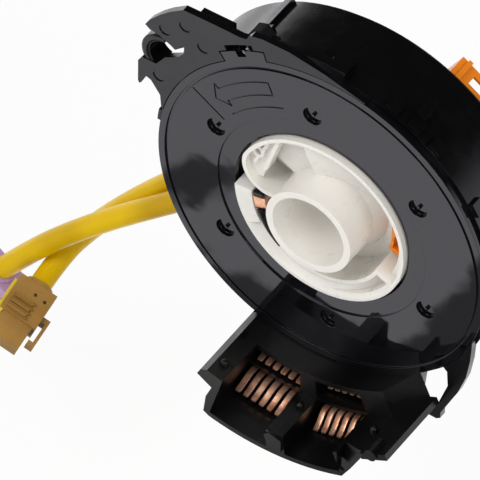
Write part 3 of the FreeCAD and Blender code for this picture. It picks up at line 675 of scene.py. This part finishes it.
@dataclass(frozen=True)
class Teeth:
    """Saw-tooth finger ridges on the wide face of a connector that a lead ends in.

    Attributes:
        route: the lead's route.
        facing: where the connector's wide face looks, as nearly as it can.
        pitch: from one ridge to the next.
        height: how far a ridge stands out.
        left: the ridges' first end, across the face.
        right: their last end.
        first: the foot of the first ridge, along the connector.
        base: how far the face lies from the lead's line.
        count: how many ridges there are.
        slope: the share of the pitch that a ridge covers.
    """

    route: tuple[Place, ...]
    facing: Place
    pitch: float = 1.5
    height: float = 0.75
    left: float = -4.4
    right: float = 2.2
    first: float = -5.2
    base: float = 4.4
    count: int = 4
    slope: float = 0.8

    def mesh(self) -> bpy.types.Mesh:
        """Makes the ridges.

        The side view of a ridge is a triangle that rises slowly towards the nose and falls
        steeply. It runs from left to right across the face, and the ridges follow each other at
        one pitch. The connector's up direction is against the lead's last run.

        Returns:
            The ridges' mesh.
        """
        before, end = (np.array(p) for p in self.route[-2:])
        up = (before - end) / np.linalg.norm(before - end)
        side = np.cross(-np.array(self.facing), up)
        side /= np.linalg.norm(side)
        back = np.cross(up, side)
        covered = self.pitch * self.slope
        foot = self.first - self.pitch * np.arange(self.count)[:, None]
        along = (foot - np.array([0.0, covered, covered]))[:, None, :, None] * up
        out = -(self.base + np.array([0.0, self.height, 0.0]))[None, None, :, None] * back
        across = np.array([self.left, self.right])[None, :, None, None] * side
        corners = 3
        faces: list[list[int]] = []
        for index in range(self.count):
            faces += tube_faces(2, corners, index * 2 * corners)
        mesh = mesh_through("teeth", end + across + out + along, faces)
        shell = bmesh.new()
        shell.from_mesh(mesh)
        bmesh.ops.recalc_face_normals(shell, faces=shell.faces)
        shell.to_mesh(mesh)
        shell.free()
        return mesh


@dataclass(frozen=True)
class Softened:
    """A copy of a CAD node with its doubles merged and its edges rounded as a mould leaves them.

    Attributes:
        node: the CAD node.
        radius: how round its edges are.
        added: small shapes that the mould adds.
    """

    node: str
    radius: float
    added: tuple[Band | Roll | Dome | Teeth, ...] = ()

    merge_distance = 2e-6
    flat_angle = 0.6
    sharp_angle = 28.0
    segments = 2
    normal_weight = 60

    def build(self, wardrobe: Wardrobe) -> bpy.types.Object:
        """Makes the copy, which replaces its node and rides on its body.

        Args:
            wardrobe: the materials.

        Returns:
            The new object.
        """
        mesh = frame["nodes"][self.node].data.copy()
        shell = bmesh.new()
        shell.from_mesh(mesh)
        for shape in self.added:
            part = shape.mesh()
            shell.from_mesh(part)
            bpy.data.meshes.remove(part)
        bmesh.ops.remove_doubles(shell, verts=shell.verts, dist=self.merge_distance)
        bmesh.ops.dissolve_limit(shell, angle_limit=math.radians(self.flat_angle), verts=shell.verts,
                                 edges=shell.edges)
        shell.to_mesh(mesh)
        shell.free()
        mesh.materials.clear()
        mesh.materials.append(wardrobe.get(NODE_FINISH[self.node]))
        mesh.polygons.foreach_set("material_index", np.zeros(len(mesh.polygons), dtype=np.int32))
        smooth_up_to(mesh, self.sharp_angle)
        piece = fitted(self.node + "_moulded", mesh, self.node)
        bevel = piece.modifiers.new("mould_radius", "BEVEL")
        bevel.width = self.radius * MM
        bevel.segments = self.segments
        bevel.limit_method = "ANGLE"
        bevel.angle_limit = math.radians(self.sharp_angle)
        bevel.use_clamp_overlap = True
        bevel.harden_normals = False
        flat = piece.modifiers.new("flat_faces", "WEIGHTED_NORMAL")
        flat.mode = "FACE_AREA"
        flat.weight = self.normal_weight
        flat.keep_sharp = False
        return piece


# Leads


@dataclass(frozen=True)
class Lead:
    """One sleeved lead, on a smooth curve through the route that its CAD tube follows.

    Attributes:
        name: the piece's name.
        node: the CAD node that it replaces.
        route: its points, from the hood to the connector.
        plug: the pieces at its end; not used.
        diameter: of the sleeve.
    """

    name: str
    node: str
    route: tuple[Place, ...]
    plug: tuple[str, ...]
    diameter: float = 6.6

    length_steps = 40
    spline_order = 3
    smoothness = 16
    roundness = 10

    def length(self) -> float:
        """Length of the smooth curve, in millimetres.

        The curve is a chain of parabolas. Each one starts and ends halfway between neighbouring
        route points and is drawn towards the point between them. The first starts on the first
        route point and the last ends on the last. The length is the sum of short chords.

        Returns:
            The length.
        """
        knots = np.array(self.route)
        middles = (knots[1:] + knots[:-1]) / 2
        starts = np.vstack([knots[:1], middles[1:-1]])[:, None]
        ends = np.vstack([middles[1:-1], knots[-1:]])[:, None]
        pulls = knots[1:-1][:, None]
        t = np.linspace(0.0, 1.0, self.length_steps)[None, :, None]
        runs = (1 - t) ** 2 * starts + 2 * t * (1 - t) * pulls + t ** 2 * ends
        return float(np.linalg.norm(np.diff(runs, axis=1), axis=2).sum())

    def build(self, wardrobe: Wardrobe) -> bpy.types.Object:
        """Args:
            wardrobe: the materials.

        Returns:
            The curve.
        """
        curve = bpy.data.curves.new(self.name, "CURVE")
        curve.dimensions = "3D"
        spline = curve.splines.new("NURBS")
        spline.points.add(len(self.route) - 1)
        knots = np.hstack([np.array(self.route) * MM, np.ones((len(self.route), 1))])
        spline.points.foreach_set("co", knots.ravel())
        spline.order_u = self.spline_order
        spline.use_endpoint_u = True
        spline.resolution_u = self.smoothness
        curve.resolution_u = self.smoothness
        curve.bevel_depth = self.diameter / 2 * MM
        curve.bevel_resolution = self.roundness
        curve.use_fill_caps = True
        curve.materials.append(wardrobe.get(NODE_FINISH[self.node]))
        piece = fitted(self.name, curve, self.node)
        return piece


FRONT_LEAD = Lead("lead_front_sleeve", "lead_front", (
    (-35.6, 33.0, -30.9), (-53.0, 33.2, -46.4), (-71.6, 33.2, -62.8), (-88.4, 33.1, -77.5),
    (-103.8, 32.4, -91.9), (-117.2, 30.8, -105.8), (-128.0, 30.8, -119.8)),
    ("squib_lilac_moulded", "squib_lilac_lock_moulded"))
REAR_LEAD = Lead("lead_rear_sleeve", "lead_rear", (
    (-42.4, 35.2, -24.6), (-58.4, 37.4, -42.8), (-76.0, 40.2, -62.8), (-91.4, 41.0, -81.0),
    (-103.9, 41.4, -97.9), (-111.3, 37.0, -109.0), (-111.3, 24.6, -113.0)),
    ("squib_tan_moulded", "squib_tan_lock_moulded"))

HOOK_ARM = Roll(centre=(-51.2, 33.2), radius=6.15, start=88.0, end=254.0, depth=1.5, thickness=1.27)
# A wedge behind the tab's notch that hides the case wall's highlight there: a dark stand-in for the
# shade inside the hole.
NOTCH_SHADE_WEDGE = Band(((52.6, 6.5), (57.2, 6.5), (53.9, 1.3), (52.6, 1.3)), start=108.0, end=130.0, steps=2)
CLIP_BAND = Band(((19.3, 0.6), (20.0, 0.6), (20.0, -2.2), (19.3, -2.2)), start=-161.0, end=-127.0)
PEG_CAPS = (Dome((-17.1, -21.0, -47.9)), Dome((2.8, -14.0, -59.2)), Dome((28.2, -16.0, -52.0)))
LILAC_RIDGES = Teeth(FRONT_LEAD.route, facing=(0.0, -1.0, 0.0))
TAN_RIDGES = Teeth(REAR_LEAD.route, facing=(0.385, -0.58, 0.718), pitch=1.6, height=1.15)

SOFTENED = (
    Softened("case", 0.25, added=(HOOK_ARM, NOTCH_SHADE_WEDGE)),
    Softened("rear_cover", 0.1),
    Softened("connector_block", 0.35, added=PEG_CAPS),
    Softened("rotor_hub", 0.3),
    Softened("rotor_plate", 0.3),
    Softened("lead_hood", 0.3),
    Softened("switch_connector", 0.25),
    Softened("squib_lilac", 0.2, added=(LILAC_RIDGES,)),
    Softened("squib_tan", 0.25, added=(TAN_RIDGES,)),
    Softened("squib_lilac_lock", 0.15),
    Softened("squib_tan_lock", 0.15),
    Softened("terminal_holder", 0.2),
    Softened("link_clip", 0.15, added=(CLIP_BAND,)),
    Softened("ground_link", 0.12),
    Softened("switch_pins", 0.08),
)


# Blades


@dataclass(frozen=True)
class BladeRow:
    """A row of stamped blades that leave a wall straight and bend down towards their tips.

    Attributes:
        node: the CAD node that the row replaces.
        row_angle: angle of the row's middle about the turning axis, in degrees.
        radius: distance from the axis to the blades' upper faces.
        pitch: from blade to blade.
        reach: how far the blades stand out of their wall.
        drop: how far their tips sink.
        width: of a blade.
        thickness: of a blade.
        tail: how far a blade goes back into its wall.
        straight: the share of the reach before the bend.
        edge: how round a blade's edges are.
        burr: the share that is left of the section at the tip.
        count: how many blades there are.
        steps: how many sections a blade is drawn with.
    """

    node: str
    row_angle: float
    radius: float
    pitch: float
    reach: float
    drop: float
    width: float = 1.72
    thickness: float = 0.8
    tail: float = 4.0
    straight: float = 0.58
    edge: float = 0.16
    burr: float = 0.8
    count: int = 6
    steps: int = 28

    edge_turns = (0.0, 30.0, 60.0, 90.0)
    lean_share = 0.6
    sharp_angle = 45.0

    def ring(self) -> np.ndarray:
        """Section of one blade: a flat strip with rounded edges.

        Each corner is a quarter circle about a centre that lies inside the strip by its radius.

        Returns:
            (side, up) pairs in millimetres, a row each.
        """
        quarter = np.radians(self.edge_turns)
        w, t = self.width / 2 - self.edge, self.thickness / 2 - self.edge
        corners = ((w, t, 0.0), (-w, t, 90.0), (-w, -t, 180.0), (w, -t, 270.0))
        return np.vstack([np.stack([x + self.edge * np.cos(quarter + math.radians(a)),
                                    y + self.edge * np.sin(quarter + math.radians(a))], axis=1)
                          for x, y, a in corners])

    def build(self, wardrobe: Wardrobe) -> bpy.types.Object:
        """Makes the row.

        The line of a blade runs along the turning axis. It is straight over its first share, and
        past that it sinks in an S-bend that ends level again: three times the square less two
        times the cube of the share of the bend that it has gone, times the drop. The section
        leans with the line, and the last one is smaller, as a stamping burr is rounded off.

        Args:
            wardrobe: the materials.

        Returns:
            The row, which replaces its node.
        """
        y = self.tail - np.linspace(0.0, 1.0, self.steps) * (self.tail + self.reach)
        bend_start = self.straight * self.reach
        bent = np.clip((-y - bend_start) / (self.reach - bend_start), 0.0, 1.0)
        sink = self.drop * bent ** 2 * (3.0 - 2.0 * bent)
        lean = np.arctan(np.gradient(sink, -y))[:, None]
        size = np.ones((self.steps, 1))
        size[-1] = self.burr
        ring = self.ring()
        side, up = ring[:, 0] * size, ring[:, 1] * size
        along = y[:, None] - up * np.sin(lean) * self.lean_share
        height = up * np.cos(lean) - self.radius - self.thickness / 2 - sink[:, None]
        turn = math.radians(self.row_angle + 90.0)
        points, faces = [], []
        for index in range(self.count):
            x = side + (index - (self.count - 1) / 2) * self.pitch
            points.append(np.stack([x * math.cos(turn) - height * math.sin(turn), along,
                                    x * math.sin(turn) + height * math.cos(turn)], axis=2))
            faces += tube_faces(self.steps, len(ring), index * self.steps * len(ring))
        mesh = mesh_through(self.node + "_stamped", np.stack(points), faces)
        mesh.materials.append(wardrobe.get(NODE_FINISH[self.node]))
        smooth_up_to(mesh, self.sharp_angle)
        return fitted(self.node + "_stamped", mesh, self.node)


BLADE_ROWS = (
    BladeRow("left_pins_lower", row_angle=-98.8, radius=62.6, pitch=2.6, reach=16.0, drop=2.2),
    BladeRow("left_pins_upper", row_angle=-97.9, radius=57.4, pitch=2.55, reach=8.2, drop=0.3),
    BladeRow("right_pins_lower", row_angle=-77.2, radius=62.6, pitch=2.6, reach=14.6, drop=3.0),
    BladeRow("right_pins_upper", row_angle=-77.2, radius=57.4, pitch=2.4, reach=5.5, drop=0.2),
)


# Studio


@dataclass(frozen=True)
class Panel:
    """A soft square light that faces the object.

    Attributes:
        name: the light's name.
        place: in metres, in the row frame.
        size: its side, in metres.
        power: in watts.
        mirrored: whether reflections show it.
    """

    name: str
    place: Place
    size: float
    power: float
    mirrored: bool = True

    def build(self) -> None:
        """Makes the light."""
        data = bpy.data.lights.new(self.name, "AREA")
        data.shape = "SQUARE"
        data.size = self.size
        data.energy = self.power
        light = bpy.data.objects.new(self.name, data)
        bpy.context.scene.collection.objects.link(light)
        light.location = self.place
        light.rotation_mode = "QUATERNION"
        light.rotation_quaternion = Vector(self.place).to_track_quat("Z", "Y")
        light.visible_glossy = self.mirrored


PANELS = (
    Panel("key_panel", (-0.35, -0.75, 1.05), size=0.7, power=7.6),
    Panel("side_panel", (1.0, -0.45, 0.7), size=0.5, power=4.0),
    Panel("back_panel", (-0.5, 0.9, 0.8), size=0.6, power=2.0, mirrored=False),
    Panel("rim_panel", (-1.0, 0.66, 0.05), size=0.34, power=0.7),
)


@dataclass(frozen=True)
class View:
    """The camera, at the photograph's angle.

    Attributes:
        azimuth: how far it stands round from -Y towards +X, in degrees.
        elevation: how far above the level, in degrees.
        distance: from what it aims at, in metres.
        pixels_per_metre: the photograph's scale.
        frame_pixels: the photograph's side.
        aim_right: what it aims at, to the right of the origin in millimetres.
        aim_up: the same, upwards.
        sensor: the sensor's width, in millimetres.
        clip: nearest and furthest that it sees, in metres.
    """

    azimuth: float = 33.6
    elevation: float = 45.9
    distance: float = 3.0
    pixels_per_metre: float = 3700.0
    frame_pixels: int = 480
    aim_right: float = -21.8
    aim_up: float = -5.8
    sensor: float = 36.0
    clip: tuple[float, float] = (0.05, 30.0)

    def axes(self) -> tuple[Vector, Vector, Vector]:
        """The camera's own directions in the row frame.

        Right is level and turned from +X by the azimuth. Up leans back by the elevation, and back
        is the cross product of the two.

        Returns:
            The right, up and back directions, each one unit long.
        """
        a, e = math.radians(self.azimuth), math.radians(self.elevation)
        right = Vector((math.cos(a), math.sin(a), 0.0))
        up = Vector((-math.sin(e) * math.sin(a), math.sin(e) * math.cos(a), math.cos(e)))
        return right, up, right.cross(up)

    def build(self) -> None:
        """Makes the camera and makes it the scene's."""
        right, up, back = self.axes()
        aim = (right * self.aim_right + up * self.aim_up) * MM
        data = bpy.data.cameras.new("camera")
        data.sensor_width = self.sensor
        data.lens = self.pixels_per_metre * self.distance / self.frame_pixels * self.sensor
        data.clip_start, data.clip_end = self.clip
        camera = bpy.data.objects.new("camera", data)
        bpy.context.scene.collection.objects.link(camera)
        turn = Matrix((right, up, back)).transposed()
        camera.matrix_world = Matrix.Translation(aim + back * self.distance) @ turn.to_4x4()
        bpy.context.scene.camera = camera


@dataclass(frozen=True)
class Floor:
    """The floor, which the camera sees as white with a faint shadow.

    Reflections see a painted reflection on it. It is lit, with wavy edges, but has painted shade near
    the part and a painted dark spot at the left, which stand in for the part's own shade. All lengths
    are in metres.

    Attributes:
        level: its height.
        reach: how far it goes to each side.
        paint: how much light it gives back.
        roughness: of its paint.
        specular: strength of its reflections.
        glow_share: how much of what the camera and reflections see is its own glow.
        lit_reflection_right: right edge of the painted reflection's lit part.
        lit_reflection_near: its near edge.
        lit_reflection_far: where the painted reflection behind the part is lit again.
        reflection_edge_blur: how soft the edges are.
        waviness: how far the edges stray.
        painted_dark_spot: place of a painted dark spot in reflections.
        painted_dark_radius: its radius.
        painted_shade_level: how bright reflections see the painted shade.
        bright: how bright they see the lit part of the painted reflection.
    """

    level: float = -0.172
    reach: float = 6.0
    paint: float = 0.92
    roughness: float = 0.9
    specular: float = 0.1
    glow_share: float = 0.85
    # The painted reflection: where reflections see the floor lit, and where they see painted shade.
    lit_reflection_right: float = -0.034
    lit_reflection_near: float = -0.1
    lit_reflection_far: float = 0.04
    reflection_edge_blur: float = 0.0015
    waviness: float = 0.018
    # A painted dark spot in reflections, standing in for shade.
    painted_dark_spot: tuple[float, float] = (-0.121, -0.124)
    painted_dark_radius: float = 0.01
    painted_shade_level: float = 0.12
    # Lit level of the painted reflection.
    bright: float = 1.2

    def build(self) -> None:
        """Makes the floor, a flat square."""
        corners = np.array([[-1, -1], [1, -1], [1, 1], [-1, 1]]) * self.reach
        mesh = bpy.data.meshes.new("floor")
        mesh.from_pydata([(x, y, self.level) for x, y in corners.tolist()], [], [(0, 1, 2, 3)])
        floor = bpy.data.objects.new("floor", mesh)
        bpy.context.scene.collection.objects.link(floor)
        mesh.materials.append(self.finish())

    def finish(self) -> bpy.types.Material:
        """Makes the floor's material: plain paint, and a glow for the camera and reflections.

        Returns:
            The new material.
        """
        sheet = NodeSheet("floor_white")
        inputs = sheet.shader.inputs
        inputs["Base Color"].default_value = (self.paint, self.paint, self.paint, 1.0)
        inputs["Roughness"].default_value = self.roughness
        inputs["Specular IOR Level"].default_value = self.specular
        rays = sheet.add("ShaderNodeLightPath")
        glow = sheet.add("ShaderNodeEmission")
        # For reflections the glow is a painted reflection, with painted shade near the part.
        strength = sheet.mix(rays.outputs["Is Glossy Ray"], 1.0, self.mirrored(sheet))
        sheet.link(strength, glow.inputs["Strength"])
        seen = sheet.combine("MAXIMUM", rays.outputs["Is Camera Ray"], rays.outputs["Is Glossy Ray"])
        seen = sheet.combine("MAXIMUM", seen, rays.outputs["Is Transmission Ray"])
        mix = sheet.add("ShaderNodeMixShader")
        sheet.link(sheet.combine("MULTIPLY", seen, self.glow_share), mix.inputs["Fac"])
        sheet.link(sheet.shader.outputs["BSDF"], mix.inputs[1])
        sheet.link(glow.outputs["Emission"], mix.inputs[2])
        sheet.link(mix.outputs["Shader"], sheet.output.inputs["Surface"])
        return sheet.material

    def mirrored(self, sheet: NodeSheet) -> Socket:
        """How bright reflections see the floor.

        A place is lit when it lies left of the right edge and nearer than the near edge, or behind
        the far one, and not within the painted dark spot. The rest is painted shade, standing in for
        the part's own shade as the cover mirrors it. Noise moves the place first.

        Args:
            sheet: the floor's nodes.

        Returns:
            The socket with the brightness.
        """
        place = sheet.add("ShaderNodeNewGeometry")
        cloud = sheet.add("ShaderNodeTexNoise", Scale=REFLECTION_EDGE_CLOUD.scale, Detail=REFLECTION_EDGE_CLOUD.octaves)
        sheet.link(place.outputs["Position"], cloud.inputs["Vector"])
        wave = sheet.add("ShaderNodeVectorMath", operation="MULTIPLY_ADD")
        wave.inputs[1].default_value = (self.waviness, self.waviness, 0.0)
        sheet.link(cloud.outputs["Color"], wave.inputs[0])
        sheet.link(place.outputs["Position"], wave.inputs[2])
        split = sheet.add("ShaderNodeSeparateXYZ")
        sheet.link(wave.outputs["Vector"], split.inputs["Vector"])
        x, y = split.outputs["X"], split.outputs["Y"]
        blur = self.reflection_edge_blur
        left = sheet.map_range(x, self.lit_reflection_right + blur, self.lit_reflection_right - blur)
        near = sheet.map_range(y, self.lit_reflection_near + blur, self.lit_reflection_near - blur)
        far = sheet.map_range(y, self.lit_reflection_far - blur, self.lit_reflection_far + blur)
        # Painted reflection: lit here, painted shade elsewhere.
        lit_reflection = sheet.combine("MAXIMUM", sheet.combine("MULTIPLY", left, near), far)
        # The painted dark spot in reflections.
        spot = sheet.add("ShaderNodeVectorMath", operation="DISTANCE")
        spot.inputs[1].default_value = (*self.painted_dark_spot, self.level)
        sheet.link(wave.outputs["Vector"], spot.inputs[0])
        clear = sheet.map_range(spot.outputs["Value"], self.painted_dark_radius - blur, self.painted_dark_radius + blur)
        return sheet.map_range(sheet.combine("MULTIPLY", lit_reflection, clear), 0.0, 1.0, self.painted_shade_level, self.bright)


@dataclass(frozen=True)
class Surroundings:
    """Even light from all round, and white where the camera sees it.

    Reflections see a bright horizon under a dark ceiling, as in a photographer's tent.

    Attributes:
        fill: how much light it gives.
        horizon: how bright reflections see the horizon.
        ceiling: how bright they see the ceiling.
        fade: the rises between which the horizon fades, as sines.
    """

    fill: float = 0.55
    horizon: float = 1.15
    ceiling: float = 0.015
    fade: tuple[float, float] = (0.02, 0.3)

    def build(self) -> None:
        """Makes the world."""
        world = bpy.data.worlds.new("studio")
        bpy.context.scene.world = world
        world.use_nodes = True
        tree = NodeTree(world.node_tree)
        back = world.node_tree.nodes["Background"]
        back.inputs["Color"].default_value = (*WHITE, 1.0)
        rays = tree.add("ShaderNodeLightPath")
        place = tree.add("ShaderNodeTexCoord")
        split = tree.add("ShaderNodeSeparateXYZ")
        tree.link(place.outputs["Generated"], split.inputs["Vector"])
        mirrored = tree.map_range(split.outputs["Z"], *self.fade, self.horizon, self.ceiling)
        level = tree.mix(rays.outputs["Is Glossy Ray"], self.fill, mirrored)
        level = tree.mix(rays.outputs["Is Camera Ray"], level, 1.0)
        tree.link(level, back.inputs["Strength"])


def build_studio() -> None:
    """Makes the camera, floor, surroundings and lights."""
    View().build()
    Floor().build()
    Surroundings().build()
    for panel in PANELS:
        panel.build()
    bpy.context.scene.view_settings.view_transform = "Standard"


def main() -> None:
    """Builds the studio, then each piece."""
    logging.basicConfig(level=logging.INFO, format="%(name)s %(message)s")
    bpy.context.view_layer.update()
    build_studio()
    wardrobe = Wardrobe()
    for node, piece in frame["nodes"].items():
        piece.data.materials.clear()
        piece.data.materials.append(wardrobe.get(NODE_FINISH[node]))
    for soft in SOFTENED:
        piece = soft.build(wardrobe)
        log.info("softened %s: %d faces", piece.name, len(piece.data.polygons))
    for row in BLADE_ROWS:
        piece = row.build(wardrobe)
        log.info("blades %s: %d faces", piece.name, len(piece.data.polygons))
    for lead in (FRONT_LEAD, REAR_LEAD):
        piece = lead.build(wardrobe)
        log.info("lead %s: %.1f mm", piece.name, lead.length())


if __name__ == "__main__":
    main()
